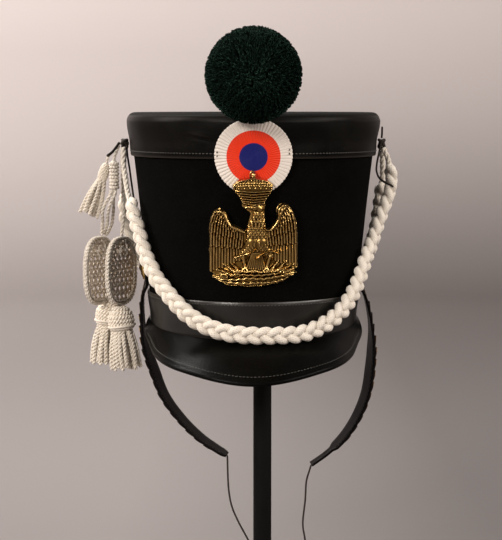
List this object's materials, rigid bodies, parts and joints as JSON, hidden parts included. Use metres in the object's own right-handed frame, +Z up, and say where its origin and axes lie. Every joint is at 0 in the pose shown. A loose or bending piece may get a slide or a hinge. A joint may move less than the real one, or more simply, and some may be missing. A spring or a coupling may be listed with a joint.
{
  "type": "shako on a display stand",
  "caption": "Flared black felt shako with leather cap and visor, cockade, brass eagle plate, pompon, white plaited cords with flounders and tassels, and brass chin scales, on a stand.",
  "frame": {"origin": "centre of the stand base's underside, on the pole's axis", "axes": "+Z up along the pole, -Y towards the hat's front, +X towards the hat's left-hand side as worn"},
  "size_m": [0.2749, 0.2991, 0.5185],
  "materials": {
    "felt": "matt pressed felt",
    "cap_leather": "waxed, semi-gloss, slightly creased",
    "visor_leather": "varnished, glossy, finely crazed",
    "cockade": "painted in blue, red and white rings",
    "brass": "stamped sheet, polished, tarnished in the hollows",
    "wool": "clipped wool",
    "white_cord": "twisted and plaited thread",
    "strap_leather": "blackened, dull",
    "stand": "satin black"
  },
  "bodies": {
    "root": {"felt_body": "felt", "leather_cap": "cap_leather", "headband": "cap_leather", "visor": "visor_leather", "cockade": "cockade", "eagle_plate": "brass", "pompon": "wool", "pompon_stem": "brass", "lace_knot_left": "strap_leather", "lace_knot_right": "strap_leather", "plait_front": "white_cord", "plait_rear": "white_cord", "end_cord_left_front": "white_cord", "end_cord_left_rear": "white_cord", "end_cord_right_front": "white_cord", "end_cord_right_rear": "white_cord", "slide_cord": "white_cord", "hanging_cord_1": "white_cord", "hanging_cord_2": "white_cord", "hanging_cord_3": "white_cord", "flounder_cord": "white_cord", "small_tassel_cord": "white_cord", "lace_left_tail": "strap_leather", "lace_left_strand": "strap_leather", "lace_right_tail": "strap_leather", "lace_right_end": "strap_leather", "slide": "white_cord", "flounder_left": "white_cord", "flounder_right": "white_cord", "tassel_left": "white_cord", "tassel_right": "white_cord", "tassel_small": "white_cord", "chin_strap_right": "strap_leather", "chin_scales_right": "brass", "chin_boss_right": "brass", "chin_lace_right": "strap_leather", "chin_strap_left": "strap_leather", "chin_scales_left": "brass", "chin_boss_left": "brass", "chin_lace_left": "strap_leather", "stand_base": "stand", "stand_pole": "stand", "stand_top_plate": "stand"}
  },
  "joints": []
}
